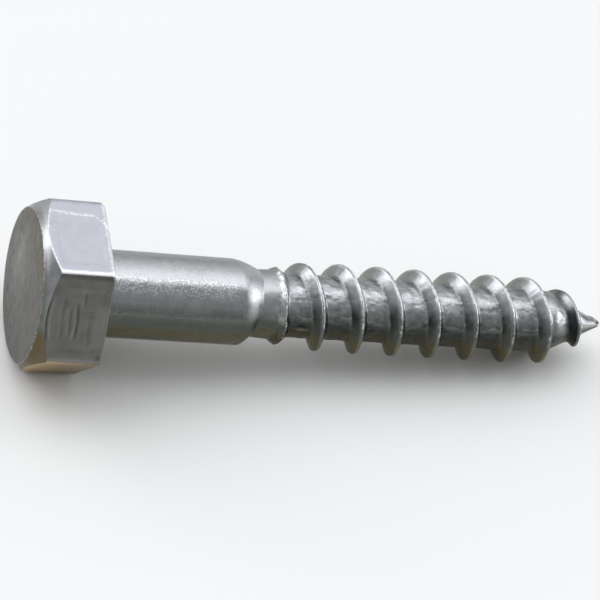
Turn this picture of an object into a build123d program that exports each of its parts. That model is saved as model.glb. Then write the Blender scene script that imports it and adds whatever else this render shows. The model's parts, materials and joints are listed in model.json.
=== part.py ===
from build123d import *
from math import atan2, ceil, cos, degrees, radians, sin, tan
import os

# A 10 x 60 hexagon-head lag screw (coach screw) in one piece of steel: a forged head, a full round
# shank, a shoulder down to the thinner blank, a coarse rolled wood thread and a cone point.
#
# Stations are measured along the screw's axis from the bearing face under the head, positive
# towards the point. The screw is modelled on the X axis, and then laid down as it comes to rest.

# ---- driving dimensions, millimetres and degrees ------------------------------------------------
screw_length = 60.0  # bearing face to the tip of the point

across_flats = 16.7  # spanner size of the head
head_height = 7.1
head_corner_radius = 0.8  # rounding of the six long corners, left by forging
face_diameter = 16.1  # flat circle on top of the head
chamfer_angle = 39.0  # of the turned chamfer round that circle, from the plane of the face
underside_break = 0.3  # bevel of the corners at the bearing face

shank_diameter = 9.15
shank_length = 15.2  # full round, up to the shoulder
underhead_radius = 0.5  # fillet between the bearing face and the shank

shoulder_length = 3.0  # from the full shank down to the blank
blank_diameter = 7.4  # plain neck, as it was before the thread was rolled
neck_length = 1.5
lip_height = 0.33  # ring that the rolling dies push up at the end of the neck
lip_rise = 0.5  # axial length of the ring's slope from the neck
lip_width = 0.3
lip_fall = 0.5  # axial length of its slope down to the thread's root

thread_pitch = 4.5  # single start, right hand
thread_phase = 101.0  # where the ridge starts, in degrees from straight up over the near side
thread_height = 1.38  # crest above root
root_depth = 0.28  # how far the dies sink the root below the blank
crest_width = 0.34
flank_angle = 30.0  # of each side of the ridge, from square to the axis
thread_end_height = 0.5  # height of the ridge where it starts and where it stops
thread_run_in = 4.5  # axial length over which the ridge grows to its full height
thread_run_out = 0.8  # axial length over which it dies away near the point

point_angle = 49.0  # included angle of the cone point
point_radius = 0.3  # rounding of the very tip
point_thread_height = 1.0  # crest above the cone
plain_point = 2.2  # last stretch of the cone, with no thread

# ---- sizes that follow --------------------------------------------------------------------------
half_flats = across_flats / 2
half_corners = half_flats / cos(radians(30)) - head_corner_radius * (1 / cos(radians(30)) - 1)
chamfer_drop = (half_corners - face_diameter / 2) * tan(radians(chamfer_angle))
shank_radius = shank_diameter / 2
underhead_start = shank_radius + underhead_radius
neck_radius = blank_diameter / 2
root_radius = neck_radius - root_depth
crest_radius = root_radius + thread_height

neck_start = shank_length + shoulder_length
lip_start = neck_start + neck_length
lip_top = lip_start + lip_rise
thread_start = lip_top + lip_width
root_start = thread_start + lip_fall

half_point = radians(point_angle / 2)
tip_centre = screw_length - point_radius
apex = tip_centre + point_radius / sin(half_point)  # of the cone, before its rounding
cone_start = apex - root_radius / tan(half_point)
thread_end = screw_length - plain_point

foot_share = 0.85  # the ridge's foot lies this far out in the core, well inside the metal
sections_per_turn = 12
thread_turns = (thread_end - thread_start) / thread_pitch


def cone_radius(station):
    """Radius of the point's cone, run on back along the screw."""
    return (apex - station) * tan(half_point)


def core_radius(station):
    """Radius of the metal that the ridge stands on."""
    return min(root_radius, cone_radius(station))


def ridge_radius(station):
    """Radius of the crest: full height, except near both ends and down the cone."""
    full = min(crest_radius, cone_radius(station) + point_thread_height)
    lowest = core_radius(station) + thread_end_height
    run_in = sin(radians(90) * min(1, (station - thread_start) / thread_run_in))
    run_out = sin(radians(90) * min(1, (thread_end - station) / thread_run_out))
    return lowest + (full - lowest) * run_in * run_out


def ridge_outline(station):
    """Corners of the ridge's section, from its sunk foot round over the crest."""
    foot = foot_share * core_radius(station)
    crest = ridge_radius(station)
    half_crest = crest_width / 2
    half_foot = half_crest + (crest - foot) * tan(radians(flank_angle))
    return (
        (station - half_foot, foot),
        (station + half_foot, foot),
        (station + half_crest, crest),
        (station - half_crest, crest),
    )


def radial_plane(angle):
    """Plane through the axis, turned this far from straight up: X along the axis, Y outwards."""
    return Plane(origin=(0, 0, 0), x_dir=(1, 0, 0), z_dir=Vector(0, -1, 0).rotate(Axis.X, angle))


# ---- the screw on the X axis --------------------------------------------------------------------
with BuildPart() as straight_screw:
    # head: a forged hexagon with one flat underneath
    with BuildSketch(Plane.YZ) as hexagon:
        RegularPolygon(half_flats, 6, major_radius=False)
        fillet(hexagon.vertices(), head_corner_radius)
    extrude(amount=-head_height)

    # the head's outline as turned: chamfered round the face, corners broken at the underside
    with BuildSketch(Plane.XZ):
        with BuildLine():
            Polyline(
                (0, 0),
                (0, half_corners - underside_break),
                (-underside_break, half_corners),
                (chamfer_drop - head_height, half_corners),
                (-head_height, face_diameter / 2),
                (-head_height, 0),
                close=True,
            )
        make_face()
    revolve(axis=Axis.X, mode=Mode.INTERSECT)

    # shank, shoulder, neck, lip, thread root and cone point in one turned outline
    with BuildSketch(Plane.XZ):
        with BuildLine():
            Line((0, 0), (0, underhead_start))
            RadiusArc((0, underhead_start), (underhead_radius, shank_radius), -underhead_radius)
            Line((underhead_radius, shank_radius), (shank_length, shank_radius))
            TangentArc((shank_length, shank_radius), (neck_start, neck_radius), tangent=(1, 0))
            Polyline(
                (neck_start, neck_radius),
                (lip_start, neck_radius),
                (lip_top, neck_radius + lip_height),
                (thread_start, neck_radius + lip_height),
                (root_start, root_radius),
                (cone_start, root_radius),
                (tip_centre + point_radius * sin(half_point), point_radius * cos(half_point)),
            )
            CenterArc((tip_centre, 0), point_radius, 0, 90 - point_angle / 2)
            Line((screw_length, 0), (0, 0))
        make_face()
    revolve(axis=Axis.X)

    # thread: one loft for each turn, and each starts on the section where the last one stopped
    last_section = ceil(thread_turns * sections_per_turn)
    for first in range(0, last_section, sections_per_turn):
        for section in range(first, min(first + sections_per_turn, last_section) + 1):
            station = min(thread_start + thread_pitch * section / sections_per_turn, thread_end)
            turned = 360 * (station - thread_start) / thread_pitch
            with BuildSketch(radial_plane(thread_phase + turned)):
                with BuildLine():
                    Polyline(*ridge_outline(station), close=True)
                make_face()
        loft()

# ---- the screw at rest: on the edge of the head's bottom flat and on the crest that touches first
lowest_crest = thread_start + thread_pitch * ((180 - thread_phase) % 360) / 360
low_crests = [lowest_crest + thread_pitch * turn for turn in range(int(thread_turns))]
tilt = min(degrees(atan2(half_flats - ridge_radius(low), low + crest_width / 2)) for low in low_crests)

with BuildPart() as lag_screw:
    add(straight_screw.part, rotation=(0, tilt, 0))

lag_screw.part.label = "lag_screw"
os.makedirs("parts", exist_ok=True)
export_step(lag_screw.part, "parts/lag_screw.step")
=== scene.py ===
import json
from math import ceil, cos, pi, radians, sin, tan

import bpy
import numpy as np
from mathutils import Matrix, Vector, noise


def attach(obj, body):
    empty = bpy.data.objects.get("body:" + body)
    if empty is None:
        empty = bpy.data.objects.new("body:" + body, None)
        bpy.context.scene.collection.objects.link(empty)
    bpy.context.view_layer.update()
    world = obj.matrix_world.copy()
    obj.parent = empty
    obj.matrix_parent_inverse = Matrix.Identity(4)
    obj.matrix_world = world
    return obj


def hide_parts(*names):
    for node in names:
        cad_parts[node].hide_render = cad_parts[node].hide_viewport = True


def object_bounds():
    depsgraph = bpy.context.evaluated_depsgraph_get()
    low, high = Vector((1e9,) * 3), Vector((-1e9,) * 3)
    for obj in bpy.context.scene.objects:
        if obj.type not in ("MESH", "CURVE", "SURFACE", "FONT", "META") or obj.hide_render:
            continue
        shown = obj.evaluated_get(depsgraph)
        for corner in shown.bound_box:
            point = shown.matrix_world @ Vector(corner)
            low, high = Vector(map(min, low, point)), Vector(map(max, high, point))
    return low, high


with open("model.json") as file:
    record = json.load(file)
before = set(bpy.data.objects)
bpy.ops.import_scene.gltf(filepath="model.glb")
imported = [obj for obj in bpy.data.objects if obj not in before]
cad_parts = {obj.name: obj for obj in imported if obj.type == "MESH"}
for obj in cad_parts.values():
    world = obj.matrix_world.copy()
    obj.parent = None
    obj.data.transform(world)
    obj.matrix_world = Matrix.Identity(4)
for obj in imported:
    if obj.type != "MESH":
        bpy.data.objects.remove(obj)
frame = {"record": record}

cad_low, cad_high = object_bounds()

# ---- Floor, light and camera --------------------------------------------------------------------
# The screw lies on a pale studio table, on an edge of its head and on one crest of its thread.
# A wide soft light hangs over and behind it, and the room in front of it is dim.
mm = 0.001
floor_size = 4.0
floor_colour = (0.80, 0.80, 0.79, 1.0)

bpy.ops.object.select_all(action="DESELECT")
bpy.ops.mesh.primitive_plane_add(size=floor_size, location=(0, 0, cad_low.z))
floor = bpy.context.object
floor.name = "studio_floor"
bpy.ops.object.transform_apply(location=True)
floor_paint = bpy.data.materials.new("studio_floor")
floor_paint.use_nodes = True
floor_shader = floor_paint.node_tree.nodes["Principled BSDF"]
floor_shader.inputs["Base Color"].default_value = floor_colour
floor_shader.inputs["Roughness"].default_value = 0.5
floor_shader.inputs["Specular IOR Level"].default_value = 0.5
floor.data.materials.append(floor_paint)

# the room's light by degrees up from the wall behind: brightest nearly overhead, dim on the near side
# and, past where the end walls start, at both ends
room_light = (
    (-20, 0.55),
    (0, 0.62),
    (24, 0.80),
    (48, 1.22),
    (66, 1.80),
    (88, 1.86),
    (93, 0.60),
    (120, 0.42),
    (156, 0.30),
    (170, 0.27),
    (180, 0.42),
    (200, 0.42),
)
end_wall_light = 0.46
end_wall_start, end_wall_full = 0.60, 0.86
brightest = 2.0
room_tint = (0.955, 0.975, 1.0)
# three soft lamps: (direction, degrees to where it starts to fade, degrees to its edge, light)
lamps = (
    ((-0.58, 0.40, 0.70), 18, 34, 2.8),
    ((-0.74, 0.65, 0.17), 8, 16, 4.0),
    ((0.93, 0.00, 0.36), 11, 19, 4.2),
)
world = bpy.data.worlds.new("studio_room")
bpy.context.scene.world = world
world.use_nodes = True
nodes, links = world.node_tree.nodes, world.node_tree.links


def shade(light):
    """The room's colour where it is this bright, as a share of its brightest."""
    return [light / brightest * tint for tint in room_tint] + [1.0]


def lit_where(room, value, start, full, light):
    """The room, with this light laid over it where the value rises from start to full."""
    rise = nodes.new("ShaderNodeMapRange")
    rise.interpolation_type = "SMOOTHSTEP"
    rise.inputs["From Min"].default_value = start
    rise.inputs["From Max"].default_value = full
    links.new(value, rise.inputs["Value"])
    lit = nodes.new("ShaderNodeMix")
    lit.data_type = "RGBA"
    lit.inputs["B"].default_value = shade(light)
    links.new(rise.outputs["Result"], lit.inputs["Factor"])
    links.new(room, lit.inputs["A"])
    return lit.outputs["Result"]


direction = nodes.new("ShaderNodeTexCoord")
parts = nodes.new("ShaderNodeSeparateXYZ")
across_room = nodes.new("ShaderNodeCombineXYZ")
turn = nodes.new("ShaderNodeTexGradient")
turn.gradient_type = "RADIAL"
ramp = nodes.new("ShaderNodeValToRGB")
links.new(direction.outputs["Generated"], parts.inputs[0])
links.new(parts.outputs["Y"], across_room.inputs["X"])
links.new(parts.outputs["Z"], across_room.inputs["Y"])
links.new(across_room.outputs[0], turn.inputs["Vector"])
links.new(turn.outputs["Fac"], ramp.inputs["Fac"])
stops = ramp.color_ramp.elements
while len(stops) < len(room_light):
    stops.new(0.5)
for stop, (degrees_up, light) in zip(stops, room_light):
    stop.position = 0.5 + degrees_up / 360
    stop.color = shade(light)

endways = nodes.new("ShaderNodeMath")
endways.operation = "ABSOLUTE"
links.new(parts.outputs["X"], endways.inputs[0])
room = ramp.outputs["Color"]
room = lit_where(room, endways.outputs[0], end_wall_start, end_wall_full, end_wall_light)
for towards, full, edge, light in lamps:
    facing = nodes.new("ShaderNodeVectorMath")
    facing.operation = "DOT_PRODUCT"
    facing.inputs[1].default_value = Vector(towards).normalized()
    links.new(direction.outputs["Generated"], facing.inputs[0])
    room = lit_where(room, facing.outputs["Value"], cos(radians(edge)), cos(radians(full)), light)
links.new(room, nodes["Background"].inputs["Color"])
nodes["Background"].inputs["Strength"].default_value = brightest

camera_aim = Vector((23.41, 0.33, -1.44)) * mm
camera_distance = 232.92 * mm
camera_azimuth = radians(28.628)
camera_elevation = radians(48.466)
camera_roll = radians(23.429)
forward = Vector(
    (
        sin(camera_azimuth) * cos(camera_elevation),
        cos(camera_azimuth) * cos(camera_elevation),
        -sin(camera_elevation),
    )
)
camera = bpy.data.objects.new("camera", bpy.data.cameras.new("camera"))
bpy.context.collection.objects.link(camera)
camera.data.lens = 130.417
camera.data.sensor_width = 36
camera.location = camera_aim - forward * camera_distance
turned_level = forward.to_track_quat("-Z", "Y").to_matrix()
camera.rotation_euler = (turned_level @ Matrix.Rotation(camera_roll, 3, "Z")).to_euler()
bpy.context.scene.camera = camera
bpy.context.scene.view_settings.view_transform = "Standard"

# ---- The lag screw ------------------------------------------------------------------------------
# One piece of steel: a head forged to a hexagon, a full round shank, a shoulder down to the thinner
# blank, and a coarse thread and cone point rolled on. All of it is thinly coated with dull zinc.
# Sizes are millimetres along the screw from the bearing face and out from its axis.
lines_round = 216
# places closer than a hair are the same, and the pieces of the skin are joined across a seam
hair = 0.0005
seam = 0.0008

face_radius = 8.05
face_station = -7.03
half_flats = 8.35
corner_rounding = 0.8
corner_break = 0.3
least_break = 0.14
edge_rounding = 0.06
sharp_edge = radians(28)
lobe = radians(60)
corner_centre = (half_flats - corner_rounding) / cos(lobe / 2)
corner_radius = corner_centre + corner_rounding
break_radius = corner_radius - corner_break

shank_radius = 4.575
underhead_radius = 0.5
underhead_start = shank_radius + underhead_radius
shank_end = 15.2
shoulder_end = 18.2
neck_radius = 3.60
neck_end = 19.7
neck_flare = 0.12

pitch = 4.5
thread_start = 20.5
thread_end = 57.8
start_angle = 101.0
crest_width = 0.34
flank = tan(radians(30))
root_radius = 3.42
crest_radius = 4.80
point_crest = 1.0

half_point = radians(24.5)
point_radius = 0.3
screw_length = 60.0
tip_centre = screw_length - point_radius
apex = tip_centre + point_radius / sin(half_point)
tip_start = tip_centre + point_radius * sin(half_point)


def chamfer_station(out):
    """The turned chamfer round the face: steep at the face's edge, then easing outwards."""
    past_face = np.maximum(out - face_radius, 0)
    return face_station + 0.68 * past_face + 0.39 * (1 - np.exp(-past_face / 0.15))


side_start = chamfer_station(corner_radius)


def steps(start, end, size):
    """Evenly spaced places from start to end, about this far apart, without the start."""
    count = max(1, round(abs(end - start) / size))
    return [start + (end - start) * (i + 1) / count for i in range(count)]


def draw_outline(name, corners):
    """A line of vertices through (station, radius) corners, straight above the axis."""
    bpy.ops.object.select_all(action="DESELECT")
    bpy.ops.mesh.primitive_plane_add(size=1.0, location=(corners[0][0], 0, corners[0][1]))
    line = bpy.context.object
    line.name = line.data.name = name
    bpy.ops.object.transform_apply(location=True)
    bpy.ops.object.mode_set(mode="EDIT")
    bpy.ops.mesh.select_mode(type="VERT")
    bpy.ops.mesh.select_all(action="SELECT")
    bpy.ops.mesh.merge(type="CENTER")
    for here, there in zip(corners, corners[1:]):
        step = (there[0] - here[0], 0, there[1] - here[1])
        bpy.ops.mesh.extrude_region_move(TRANSFORM_OT_translate={"value": step})
    bpy.ops.object.mode_set(mode="OBJECT")
    return line


def turn_outline(line):
    """Spins an outline once round the axis and closes it."""
    bpy.ops.object.mode_set(mode="EDIT")
    bpy.ops.mesh.select_all(action="SELECT")
    bpy.ops.mesh.spin(steps=lines_round, angle=2 * pi, center=(0, 0, 0), axis=(1, 0, 0))
    bpy.ops.mesh.select_all(action="SELECT")
    bpy.ops.mesh.remove_doubles(threshold=hair)
    bpy.ops.object.mode_set(mode="OBJECT")


def read_round(piece):
    """Each vertex's station, radius and angle: 0 on the near side, a quarter turn straight up."""
    places = np.empty(len(piece.data.vertices) * 3)
    piece.data.vertices.foreach_get("co", places)
    along, across, up = places.reshape(-1, 3).T
    return along.copy(), np.hypot(across, up), np.arctan2(up, -across)


def flat_places(along, out, angle):
    """The same places as along, across and up."""
    return np.stack([along, -out * np.cos(angle), out * np.sin(angle)], axis=1)


def write_round(piece, along, out, angle):
    """Moves each vertex to its station, radius and angle."""
    piece.data.vertices.foreach_set("co", flat_places(along, out, angle).ravel())
    piece.data.update()


def blend(place, low, high):
    """0 below low, 1 above high, and an easy curve between."""
    share = np.clip((place - low) / (high - low), 0, 1)
    return share * share * (3 - 2 * share)


def uneven(x, y, z, size, seed):
    """Unevenness from about -0.5 to 0.5, in lumps of about this size."""
    places = np.stack([x + seed * size, y, z], axis=1) / size
    return 0.5 * np.array([noise.noise(place) for place in places])


def rough(along, angle, size, seed):
    """The same, round the screw."""
    return uneven(along, 4.2 * np.cos(angle), 4.2 * np.sin(angle), size, seed)


# the outline as turned, from the middle of the head's face to the end of the plain neck
face = [(face_station, r) for r in steps(0, face_radius, 0.45)]
cut = [face_radius + (corner_radius - face_radius) * t**1.6 for t in steps(0, 1, 1 / 9)]
cut = [(float(chamfer_station(r)), r) for r in cut]
sides = [(s, corner_radius) for s in steps(side_start, -corner_break, 0.12)]
bearing = [(0.0, r) for r in [break_radius] + steps(break_radius, underhead_start, 0.6)]
fillet = [
    (underhead_radius * (1 - cos(turn)), underhead_start - underhead_radius * sin(turn))
    for turn in steps(0, pi / 2, pi / 12)
]
shank = [(s, shank_radius) for s in steps(underhead_radius, shank_end, 0.4)]
shoulder = [
    (shank_end + (shoulder_end - shank_end) * t, shank_radius - (shank_radius - neck_radius) * t**1.5)
    for t in steps(0, 1, 1 / 20)
]
neck = [(s, neck_radius) for s in steps(shoulder_end, neck_end, 0.15)]
outline = [(face_station, 0.0)] + face + cut + sides + bearing + fillet + shank + shoulder + neck

blank = draw_outline("lag_screw_steel", outline)
turn_outline(blank)
along, out, angle = read_round(blank)

# the six sides: the round head is pressed in until they are flat, and its lines round crowd towards
# the corners, where the surface turns fastest
head = (along < -hair) | ((along < hair) & (out > underhead_start + hair))
on_face = head & (along < face_station + hair)
on_bearing = head & (along > -hair)
on_chamfer = head & ~on_face & (along < side_start + hair)
on_side = head & ~on_face & ~on_chamfer & ~on_bearing

off_corner = (angle + lobe / 2) % lobe - lobe / 2
crowded = np.sign(off_corner) * lobe / 2 * (np.abs(off_corner) / (lobe / 2)) ** 1.45
pull = np.where(on_face, blend(out, 4.0, 7.8), 1.0)
pull = np.where(on_bearing, blend(out, underhead_start, 7.5), pull)
angle = np.where(head, angle + (crowded - off_corner) * pull, angle)


def hexagon(angle):
    """How far out the sides are, this far round: six flats with rounded corners."""
    off_corner = np.abs((angle + lobe / 2) % lobe - lobe / 2)
    flat = half_flats / np.cos(lobe / 2 - off_corner)
    inside = np.maximum(corner_rounding**2 - (corner_centre * np.sin(off_corner)) ** 2, 0)
    rounded = corner_centre * np.cos(off_corner) + np.sqrt(inside)
    meet = np.arctan2(corner_centre * sin(lobe / 2), half_flats)
    return np.where(lobe / 2 - off_corner > meet, rounded, flat)


reach = hexagon(angle)
cut_out = face_radius + (out - face_radius) * (reach - face_radius) / (corner_radius - face_radius)
flat_start = chamfer_station(reach)
bevel = np.maximum(reach - break_radius, least_break)
down_side = (along - side_start) / (-corner_break - side_start)
across_bearing = (out - underhead_start) / (break_radius - underhead_start)
pressed_along = np.select(
    [on_chamfer, on_side],
    [chamfer_station(cut_out), flat_start - down_side * (bevel + flat_start)],
    along,
)
pressed_out = np.select(
    [on_chamfer, on_side, on_bearing],
    [
        cut_out,
        reach,
        underhead_start + across_bearing * (reach - bevel - underhead_start),
    ],
    out,
)

# marks of the forging and trimming tools: a panel pressed in a little inside the edges of each flat,
# and faint scores across every second one: (place along, where it starts and stops across, strength)
panel_depth = 0.028
score_depth = 0.014
scores = (
    (-4.75, -2.7, 2.7, 0.30),
    (-3.95, -2.3, 1.7, 0.45),
    (-3.25, -2.6, 1.8, 0.80),
    (-2.60, 0.8, 3.4, 0.45),
    (-1.90, -3.2, 1.0, 0.25),
)


def scored(along, across):
    """Above 0 in the scores on a flat, and below 0 on the burr along each."""
    marks = 0 * along
    for place, start, stop, strength in scores:
        off_score = along - (place - 0.03 * across + 0.05 * np.sin(1.7 * across + 7 * place))
        length = blend(across, start, start + 0.9) * (1 - blend(across, stop - 0.9, stop))
        mark = np.exp(-((off_score / 0.12) ** 2)) - 0.6 * np.exp(-(((off_score + 0.28) / 0.13) ** 2))
        marks += strength * mark * length
    return marks


def across_flats(out, angle):
    """Which flat a place is on, counted up from the near one, and how far across it."""
    flat_number = np.round((np.degrees(angle) - 30) / 60).astype(int) % 6
    return flat_number, out * np.sin(angle - np.radians(30 + 60 * flat_number))


flat_number, across = across_flats(pressed_out, angle)
in_panel = blend(np.abs(across + 0.25), 3.45, 3.15) * blend(pressed_along, -5.6, -5.3)
in_panel *= blend(pressed_along, -0.75, -1.05)
sunk = panel_depth * in_panel
sunk = sunk + np.where(flat_number % 2 == 0, score_depth * scored(pressed_along, across), 0)
along = pressed_along
out = np.where(on_side, pressed_out - sunk, pressed_out)

# the shoulder: a long slope on the far upper side, and a short steep one on the near side below
lean = radians(50.8)
tall = np.sin(angle - lean)
arc_start = 15.7 - 0.55 * tall
arc_end = 17.83 + 0.33 * tall
pull_start = 12.0
along = np.select(
    [
        (along > pull_start) & (along < shank_end + hair),
        (along > shank_end) & (along < shoulder_end + hair),
        along > shoulder_end,
    ],
    [
        pull_start + (along - pull_start) * (arc_start - pull_start) / (shank_end - pull_start),
        arc_start + (along - shank_end) * (arc_end - arc_start) / (shoulder_end - shank_end),
        arc_end + (along - shoulder_end) * (neck_end - arc_end) / (neck_end - shoulder_end),
    ],
    along,
)
flare = neck_flare * (along - arc_end) / (neck_end - arc_end)
out = out + np.where(along > arc_end - hair, flare, 0)
write_round(blank, along, out, angle)

# every edge of the head is a little rounded
bpy.ops.object.mode_set(mode="EDIT")
bpy.ops.mesh.select_mode(type="EDGE")
bpy.ops.mesh.select_all(action="DESELECT")
bpy.ops.mesh.edges_select_sharp(sharpness=sharp_edge)
bpy.ops.mesh.bevel(offset=edge_rounding, offset_type="WIDTH", segments=3, affect="EDGES")
bpy.ops.object.mode_set(mode="OBJECT")


# the zinc's colour with the room's light painted in: painted light and shade round the screw, painted
# greenish and olive-brown reflections lower down, and painted highlights along the edges
clean = (1.0, 1.01, 1.03)
greenish = (0.94, 1.02, 0.92)
olive_brown = (1.07, 0.96, 0.54)
# the colour of the painted highlights
highlight_colour = (0.84, 0.84, 0.86, 1.0)


def round_screw(angle, *stops):
    """A value that changes round the screw. Stops are (degrees, value): 0 near side, 90 top."""
    places, values = zip(*stops)
    return np.interp(np.degrees(angle), places, values)


def coating_and_light(angle, brightness):
    """Colour of the zinc at this painted brightness: neutral on top, with a painted greenish reflection
    lower down and a painted olive reflection underneath.
    """
    around = np.degrees(angle)
    olive = 1 - blend(around, -4, 14) + blend(around, 162, 178)
    green = (1 - blend(around, 24, 50) + 0.7 * blend(around, 118, 140)) * (1 - olive)
    tint = np.outer(1 - olive - green, clean) + np.outer(green, greenish) + np.outer(olive, olive_brown)
    return tint * brightness[:, None]


def keep(piece, coat_and_shade, painted_highlight):
    """Stores the coating's colour with its painted light and shade, and the painted highlights, on the
    vertices, for the finish to read.
    """
    coat_and_shade = np.column_stack([np.clip(coat_and_shade, 0, 1), np.ones(len(coat_and_shade))])
    piece.data.attributes.new("coat_and_shade", "FLOAT_COLOR", "POINT")
    piece.data.attributes["coat_and_shade"].data.foreach_set("color", coat_and_shade.astype(np.float32).ravel())
    piece.data.attributes.new("painted_highlight", "FLOAT", "POINT")
    piece.data.attributes["painted_highlight"].data.foreach_set("value", painted_highlight.astype(np.float32))


def streak(off, width):
    """1 on a line, fading away to nothing at about twice this width from it."""
    return np.exp(-((off / width) ** 2))


along, out, angle = read_round(blank)
around = np.degrees(angle)
on_head = along < -0.02

# the shank's colour carries painted light and shade: bright where it faces the light overhead, dark on the
# near side and underneath
shank_light = round_screw(
    angle,
    (-180, 0.15),
    (-40, 0.15),
    (-10, 0.13),
    (0, 0.10),
    (16, 0.09),
    (22, 0.115),
    (28, 0.21),
    (34, 0.33),
    (41, 0.44),
    (54, 0.42),
    (66, 0.36),
    (74, 0.46),
    (100, 0.46),
    (110, 0.40),
    (118, 0.28),
    (126, 0.19),
    (134, 0.14),
    (180, 0.12),
)
coat_and_shade = coating_and_light(angle, shank_light)

# the flats, painted with the room's light: a painted highlight on top, painted shade beside it and a
# painted brown reflection underneath
flat_number, across = across_flats(out, angle)
flat_coats_and_shade = np.array(
    [
        (0.236, 0.236, 0.218),
        (0.470, 0.465, 0.515),
        (0.330, 0.330, 0.330),
        (0.200, 0.190, 0.150),
        (0.160, 0.150, 0.110),
        (0.410, 0.298, 0.160),
    ]
)
sides_coat_and_shade = flat_coats_and_shade[flat_number]
# the bottom flat's painted brown reflection is brighter towards the face
underneath = np.where(flat_number == 5, np.interp(along, (-5.8, -0.3), (1.4, 0.6)), 1)
sides_coat_and_shade = sides_coat_and_shade * underneath[:, None]
half_side = 4.82
past_start = along - chamfer_station(out)
from_rear = -least_break - along
from_low = half_side + across
from_high = half_side - across
# painted highlights along the edges of the flats, mostly on the top one, which has its own lines of painted
# highlight
painted_highlight = 0.7 * streak(past_start, 0.16) + 0.6 * streak(from_rear, 0.16)
painted_highlight += 0.5 * streak(from_low, 0.20) + 0.5 * streak(from_high, 0.12)
painted_highlight *= np.array([0.15, 1.0, 0.6, 0.3, 0.2, 0.2])[flat_number]
on_top = on_head & (flat_number == 1)
panel_top = 3.05 - 0.07 * (along + 5) - 0.7 * np.maximum(along + 1.5, 0) ** 1.5
top_lines = streak(from_low - 0.15, 0.30) + 0.9 * streak(past_start, 0.17) * blend(across, 4.2, 1.5)
top_lines += 0.55 * streak(across - panel_top, 0.20) + 0.55 * streak(from_rear, 0.40)
painted_highlight = np.where(on_top, top_lines, painted_highlight)

# on the near flat: darker in the scores, painted shade along its upper and lower edges, a dark band with a
# paler one past it beside the chamfer, a dark spot at its low rear corner and a paler rear
on_near = on_head & (flat_number == 0)
dirt_and_shade = 0.70 * scored(along, across) + 0.20 * streak(from_high - 0.30, 0.25) + 0.35 * streak(from_low, 0.2)
pits = blend(across, -3.0, -2.0) * (1 - blend(across, 1.2, 2.2))
dirt_and_shade += (0.50 * streak(past_start - 0.12, 0.12) - 0.35 * streak(past_start - 0.42, 0.12)) * pits
paler = blend(along, -1.7, -1.1) * (1 - blend(along, -0.4, -0.2))
paler *= 1 - blend(np.abs(across + 0.8), 1.8, 2.8)
dirt_and_shade += 0.45 * streak(np.hypot(along + 0.5, (across + 4.1) * 0.6), 0.22) - 0.16 * paler
sides_coat_and_shade = np.where(on_near[:, None], sides_coat_and_shade * (1 - np.clip(dirt_and_shade, -0.5, 0.8))[:, None], sides_coat_and_shade)

# the chamfer, painted with the room's light: a painted highlight above, painted shade towards the near side
# and a painted brown reflection at the bottom
chamfer_light = round_screw(
    angle,
    (-180, 0.13),
    (6, 0.13),
    (14, 0.12),
    (28, 0.23),
    (38, 0.32),
    (50, 0.27),
    (60, 0.215),
    (70, 0.215),
    (76, 0.26),
    (82, 0.46),
    (94, 0.42),
    (102, 0.30),
    (126, 0.26),
    (180, 0.26),
)
brown_reflection = 1 - blend(around, 10, 24) + blend(around, 150, 176)
chamfer_coat_and_shade = coating_and_light(np.clip(angle, radians(16), radians(150)), chamfer_light)
chamfer_coat_and_shade = chamfer_coat_and_shade * (1 - brown_reflection)[:, None] + np.outer(brown_reflection, (0.130, 0.098, 0.055))
face_edge = streak(np.hypot(out - face_radius, along - face_station), 0.07)

# the face: dull, its colour painted dark as shade and browner at the top, with a pale smudge up its far
# half and a thin nick below it
near_side, up = out * np.cos(angle), out * np.sin(angle)
browner = blend(up, 2.5, 7.0)
face_coat_and_shade = np.outer(1 - browner, (0.122, 0.116, 0.105)) + np.outer(browner, (0.112, 0.095, 0.068))
smudge = streak(np.hypot(near_side + 3.9, (up - 0.3) * 0.45), 1.15)
smudge += 0.40 * streak(np.hypot(near_side + 1.6, (up - 0.2) * 0.65), 2.2)
smudge *= 1 + 0.9 * uneven(near_side, up, 0 * up, 1.7, 4) + 0.5 * uneven(near_side, up, 0 * up, 0.8, 6)
face_coat_and_shade *= (1 + 0.80 * smudge)[:, None]
nick = streak(np.hypot(near_side + 3.6, (up + 5.2) * 0.3), 0.28)
face_coat_and_shade *= (1 - 0.5 * nick)[:, None]

on_face = along < face_station + 0.03
on_chamfer = on_head & ~on_face & (past_start < 0.02)
surfaces = [on_face, on_chamfer, on_head]
coat_and_shade = np.select([s[:, None] for s in surfaces], [face_coat_and_shade, chamfer_coat_and_shade, sides_coat_and_shade], coat_and_shade)
# painted glints on the shank where it turns up to the light, and a painted highlight along the face's edge
painted_glints = 0.32 * blend(around, 44, 60) * (1 - blend(around, 73, 81)) * (1 - blend(along, 14.0, 15.5))
painted_highlight = np.select(surfaces, [0.40 * face_edge, 0.40 * face_edge, painted_highlight], painted_glints)
keep(blank, coat_and_shade, painted_highlight)

# the thread's skin: one pitch of its outline, wound round the axis
offsets = [0.08, 0.17, 0.21, 0.35, 0.5, 0.65, 0.8, 0.95, 1.1, 1.3, 1.55, 1.8, 2.05]
across_pitch = [-pitch / 2] + [-d for d in reversed(offsets)] + [0.0] + offsets + [pitch / 2]
first_crest = thread_start - pitch * (start_angle / 360 + 1)
skin = draw_outline("thread_skin", [(first_crest + d, 1.0) for d in across_pitch])
winding = skin.modifiers.new("winding", "SCREW")
winding.axis = "X"
winding.angle = 2 * pi
winding.screw_offset = pitch
winding.steps = winding.render_steps = lines_round
winding.iterations = ceil((tip_start - first_crest + pitch / 2) / pitch)
bpy.ops.object.modifier_apply(modifier=winding.name)

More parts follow.
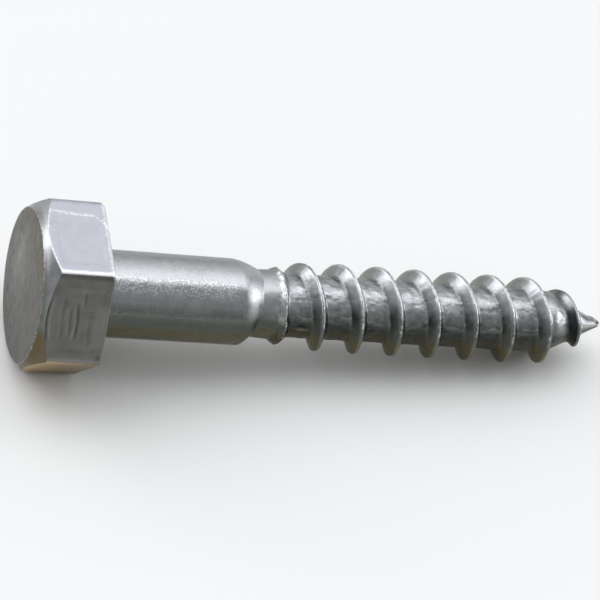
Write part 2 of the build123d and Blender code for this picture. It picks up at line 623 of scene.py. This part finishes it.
along, out, angle = read_round(skin)
turns = (along - thread_start) / pitch - (pi / 2 - angle) / (2 * pi) + start_angle / 360
off_crest = (turns - np.round(turns)) * pitch
crest_station = along - off_crest
along = np.clip(along, neck_end, tip_start)
write_round(skin, along, out, angle)
off_crest = along - crest_station


def softer(a, b, width):
    """The higher of two surfaces, with a fillet where they meet."""
    return width * np.logaddexp(a / width, b / width)


def cone(along):
    """The radius of the point's plain cone."""
    return (apex - along) * tan(half_point)


# the ring that the rolling dies push up at the end of the neck: ragged, its outer slope long on two
# sides and steep between them
tall = np.sin(angle - lean)
ragged = rough(along, angle, 0.55, 3)
lip_station = 20.45 - 0.35 * tall - 0.1 * np.cos(angle - lean) + 0.35 * rough(0 * along, angle, 0.9, 8)
lip_height = 0.46 - 0.12 * tall + 0.22 * np.minimum(ragged, 0.1)
lip_rise = 0.515 - 0.265 * tall
lip_fall = 0.45 + 0.60 * tall**2
neck_out = neck_radius + neck_flare
lip_top = neck_out + lip_height
up_lip = neck_out + lip_height * np.clip(1 + (along - lip_station) / lip_rise, 0, 1)
down_lip = lip_top - (lip_top - root_radius) * (along - lip_station) / lip_fall
down_lip = np.maximum(down_lip, root_radius)
core = np.where(along < lip_station, up_lip, down_lip)
core = -softer(-core, -cone(along), 0.04)
lumps = 0.12 * rough(along, angle, 0.8, 1) + 0.07 * rough(along, angle, 0.4, 9)
lumps *= blend(along, 21, 22) * (1 - 0.8 * blend(along, 50, 53)) * (1 - blend(along, 55, 57))
core += lumps

# the ridge: it grows over its first turn, split along the crest at first, and its head side is a
# long hollow slope on the last turn
grown = crest_radius - 0.75 * np.exp(-(crest_station - thread_start) / 1.9)
crest = -softer(-grown, -(cone(crest_station) + point_crest), 0.05)
crest += 0.10 * np.minimum(rough(crest_station, angle, 0.5, 5), 0)
crest = core + (crest - core) * blend(crest_station, thread_start - 0.7, thread_start)
died_away = blend(crest_station, thread_end - 0.6, thread_end)
crest = core + (crest - core) * (1 - died_away)
last_turn = blend(crest_station, 53.2, 54.6) * (off_crest < 0)
slope = flank * (1 + 0.55 * last_turn)
side = crest - (np.abs(off_crest) - crest_width / 2) / slope
ridge = -softer(-crest, -side, 0.02)
out = softer(core, ridge, 0.06 + 0.26 * last_turn)
split = 1 - blend(crest_station, thread_start + 7, thread_start + 10)
out = out - 0.09 * split * blend(crest_station, thread_start, thread_start + 1) * (np.abs(off_crest) < 0.04)
out = np.where(along < neck_end + hair, neck_out, out)
out = np.where(along > tip_start - hair, cone(tip_start), out)
write_round(skin, along, out, angle)

# its colour with painted light and shade: painted shade in the root, and the slope facing the head painted
# bright only near the top
root_light = round_screw(
    angle,
    (-180, 0.12),
    (-40, 0.10),
    (-20, 0.07),
    (0, 0.045),
    (12, 0.045),
    (20, 0.065),
    (30, 0.17),
    (40, 0.30),
    (60, 0.42),
    (70, 0.36),
    (80, 0.52),
    (92, 0.34),
    (110, 0.30),
    (120, 0.22),
    (180, 0.12),
)
slope_light = round_screw(
    angle,
    (-180, 0.18),
    (-10, 0.19),
    (10, 0.13),
    (34, 0.13),
    (42, 0.19),
    (50, 0.32),
    (60, 0.42),
    (76, 0.37),
    (90, 0.38),
    (98, 0.41),
    (108, 0.44),
    (114, 0.36),
    (122, 0.21),
    (132, 0.19),
    (180, 0.18),
)
crest_light = round_screw(
    angle,
    (-180, 0.20),
    (0, 0.15),
    (20, 0.12),
    (30, 0.16),
    (42, 0.20),
    (52, 0.32),
    (60, 0.50),
    (90, 0.36),
    (120, 0.44),
    (180, 0.20),
)
above_root = np.clip((out - core) / 1.3, 0, 1)
on_slope = blend(above_root, 0.01, 0.12)
on_crest = blend(above_root, 0.90, 0.97)
# painted light on the lumps in the root and painted shade in its dips
root_light *= 1 + 0.35 * blend(lumps, 0.015, 0.05) - 0.45 * blend(-lumps, 0.015, 0.06)
light = root_light * (1 - on_slope) + slope_light * on_slope
light = light * (1 - on_crest) + crest_light * on_crest
# a line of painted shade along the foot of the slope that faces the head, on top
around = np.degrees(angle)
foot_shade = streak(off_crest + 0.95, 0.26) * blend(around, 56, 76) * (1 - blend(around, 112, 124))
light = light * (1 - 0.55 * foot_shade)
# the neck and the plain cone take the shank's painted light and shade, and the cone's end has its own
# painted shade on top
shank_like = round_screw(
    angle,
    (-180, 0.15),
    (0, 0.10),
    (16, 0.09),
    (36, 0.42),
    (100, 0.46),
    (130, 0.24),
    (180, 0.15),
)
plain = np.maximum(1 - blend(along, 20.4, 20.9), blend(along, 53.0, 55.0) * (1 - on_slope))
light = light * (1 - plain) + shank_like * plain
tip_light = round_screw(
    angle,
    (46, 1.0),
    (54, 0.93),
    (62, 0.58),
    (70, 0.40),
    (78, 0.40),
    (86, 0.54),
    (94, 0.67),
    (110, 1.0),
    (118, 1.15),
)
light *= 1 + (tip_light - 1) * blend(along, 56.8, 57.6)
# the last turn's slope is painted black, as shade
pocket_shade = blend(crest_station, 53.0, 54.2) * (1 - died_away)
pocket_shade *= blend(off_crest, -2.1, -0.9) * (1 - blend(off_crest, -0.2, -0.1))
pocket_shade *= 1 - 0.75 * blend(around, 62, 112)
light = light * (1 - 0.85 * pocket_shade)
# a pit in the first root, low on the near side, painted as a dark spot of shade with a painted highlight on
# the lip under it
pit_place = np.hypot((along - 22.7) / 0.55, (around - 13) / 4.0)
pit_lip = streak(np.hypot((along - 22.8) / 0.7, (around - 4.5) / 3.0), 1)
light = light * (1 - 0.8 * streak(pit_place, 1)) + 0.10 * pit_lip
# painted highlights along the crests and round the lip, strongest where they face the light
crest_highlight = round_screw(angle, (8, 0), (30, 0.74), (60, 0.72), (80, 0.60), (180, 0.60))
painted_highlight = crest_highlight * streak(off_crest - 0.05, 0.16)
painted_highlight *= (on_crest > 0.3) * (0.75 + 0.5 * split)
painted_highlight += 0.58 * streak(along - lip_station, 0.15) * round_screw(angle, (-30, 0.2), (40, 1), (180, 1))
keep(skin, coating_and_light(angle, light), painted_highlight)

# the very tip, rounded
dome = [
    (tip_centre + point_radius * sin(turn), point_radius * cos(turn))
    for turn in steps(half_point, pi / 2, pi / 14)
]
tip = draw_outline("tip", [(tip_start, cone(tip_start))] + dome)
turn_outline(tip)
along, out, angle = read_round(tip)
keep(tip, coating_and_light(angle, np.full_like(out, 0.60)), np.zeros_like(out))

bpy.ops.object.select_all(action="DESELECT")
for piece in (blank, skin, tip):
    piece.select_set(True)
bpy.context.view_layer.objects.active = blank
bpy.ops.object.join()
bpy.ops.object.mode_set(mode="EDIT")
bpy.ops.mesh.select_all(action="SELECT")
bpy.ops.mesh.remove_doubles(threshold=seam)
bpy.ops.mesh.normals_make_consistent(inside=False)
bpy.ops.object.mode_set(mode="OBJECT")

# which finish each part of the surface has: face, sides, shank, ridge and neck, or root
places = np.empty(len(blank.data.polygons) * 3)
blank.data.polygons.foreach_get("center", places)
along, across, up = places.reshape(-1, 3).T
on_ridge = np.hypot(across, up) > np.minimum(root_radius, cone(along)) + 0.35
on_neck = along < neck_end - 0.3
surfaces = [along < face_station + 0.02, along < 0.0, along < 15.6, on_ridge | on_neck]
finish = np.select(surfaces, [0, 1, 2, 3], 4)

# the blank bows a little and sits off the head's centre; then the screw is laid down
along, out, angle = read_round(blank)
places = flat_places(along, out, angle)
off_centre, drift, bow = 0.322, 0.068, 0.376
share = np.clip(along / screw_length, 0, 1)
aside = off_centre + drift * share - bow * share**2
under = (along > -hair) & (along < hair)
aside = np.where(under, aside * (1 - blend(out, underhead_start, break_radius - 1)), aside)
places[:, 1] -= np.where(along > -hair, aside, 0)

bearing_face = next(m for m in frame["record"]["mounts"] if m["name"] == "bearing_face")
down = Vector(bearing_face["axis"])
laid = np.array([down, (0, 1, 0), -down.cross(Vector((0, 1, 0)))])
if laid[2][2] < 0:
    laid[2] *= -1
places = np.clip(places @ laid * mm, cad_low, cad_high)
blank.data.vertices.foreach_set("co", places.ravel())
blank.data.update()
bpy.ops.object.shade_smooth()


def zinc(name, roughness, grit, waves, blotch, speck, highlight_rag):
    """Dull zinc on steel. Grit and waves are its fine and broad unevenness, as (size, depth), blotch
    and speck how strongly it is mottled, and the last how raggedly its painted highlights end, as (size,
    amount)."""
    paint = bpy.data.materials.new(name)
    paint.use_nodes = True
    nodes, links = paint.node_tree.nodes, paint.node_tree.links
    shader = nodes["Principled BSDF"]
    shader.inputs["Metallic"].default_value = 1.0
    place = nodes.new("ShaderNodeTexCoord")

    def cloud(size, detail=0.0):
        """Soft lumps of about this many millimetres."""
        pattern = nodes.new("ShaderNodeTexNoise")
        pattern.inputs["Scale"].default_value = 1 / (size * mm)
        pattern.inputs["Detail"].default_value = detail
        links.new(place.outputs["Object"], pattern.inputs["Vector"])
        return pattern.outputs["Fac"]

    def between(value, to_low, to_high, low=0.3, high=0.7):
        """Spreads a range, at first the usual one of a cloud, over another."""
        span = nodes.new("ShaderNodeMapRange")
        span.inputs["From Min"].default_value = low
        span.inputs["From Max"].default_value = high
        span.inputs["To Min"].default_value = to_low
        span.inputs["To Max"].default_value = to_high
        links.new(value, span.inputs["Value"])
        return span.outputs["Result"]

    def kept(name, output):
        """What was stored on the vertices under this name."""
        stored = nodes.new("ShaderNodeAttribute")
        stored.attribute_name = name
        return stored.outputs[output]

    # unevenness: broad waves under fine grit
    normal = None
    for size, depth in (waves, grit):
        bump = nodes.new("ShaderNodeBump")
        bump.inputs["Distance"].default_value = depth * mm
        links.new(cloud(size), bump.inputs["Height"])
        if normal:
            links.new(normal, bump.inputs["Normal"])
        normal = bump.outputs["Normal"]
    links.new(normal, shader.inputs["Normal"])

    # the coating is mottled in blotches and in specks
    blotch_size, speck_size = 1.1, 0.24
    blotches = cloud(blotch_size, detail=4.0)
    specks = cloud(speck_size, detail=2.0)
    colour = kept("coat_and_shade", "Color")
    for value in (
        between(blotches, 1 - blotch, 1 + blotch),
        between(specks, 1 - speck, 1 + speck),
    ):
        scaled = nodes.new("ShaderNodeVectorMath")
        scaled.operation = "SCALE"
        links.new(colour, scaled.inputs[0])
        links.new(value, scaled.inputs["Scale"])
        colour = scaled.outputs["Vector"]

    # painted highlights along the edges, raggedly
    rag_size, raggedness = highlight_rag
    highlight_start, highlight_full = 0.24, 0.85
    ragged_highlight = nodes.new("ShaderNodeMath")
    ragged_highlight.operation = "ADD"
    links.new(kept("painted_highlight", "Fac"), ragged_highlight.inputs[0])
    links.new(between(cloud(rag_size), -raggedness, raggedness), ragged_highlight.inputs[1])
    bright = nodes.new("ShaderNodeMix")
    bright.data_type = "RGBA"
    bright.inputs["B"].default_value = highlight_colour
    links.new(between(ragged_highlight.outputs[0], 0, 1, highlight_start, highlight_full), bright.inputs["Factor"])
    links.new(colour, bright.inputs["A"])
    links.new(bright.outputs["Result"], shader.inputs["Base Color"])
    links.new(between(blotches, roughness * 0.8, roughness * 1.2), shader.inputs["Roughness"])
    return paint


blank.data.materials.clear()
for paint in (
    zinc("zinc_on_the_face", 0.45, (0.35, 0.020), (1.5, 0.02), 0.08, 0.05, (0.30, 0.12)),
    zinc("zinc_on_the_sides", 0.38, (0.25, 0.010), (1.2, 0.02), 0.05, 0.02, (0.30, 0.12)),
    zinc("zinc_on_the_shank", 0.24, (0.18, 0.007), (0.9, 0.006), 0.06, 0.08, (0.20, 0.26)),
    zinc("zinc_on_the_ridge", 0.34, (0.25, 0.010), (0.8, 0.03), 0.10, 0.06, (0.30, 0.18)),
    zinc("zinc_in_the_root", 0.34, (0.32, 0.030), (0.8, 0.06), 0.16, 0.12, (0.30, 0.18)),
):
    blank.data.materials.append(paint)
blank.data.polygons.foreach_set("material_index", finish.astype(np.int32))

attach(blank, "root")
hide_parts("lag_screw")
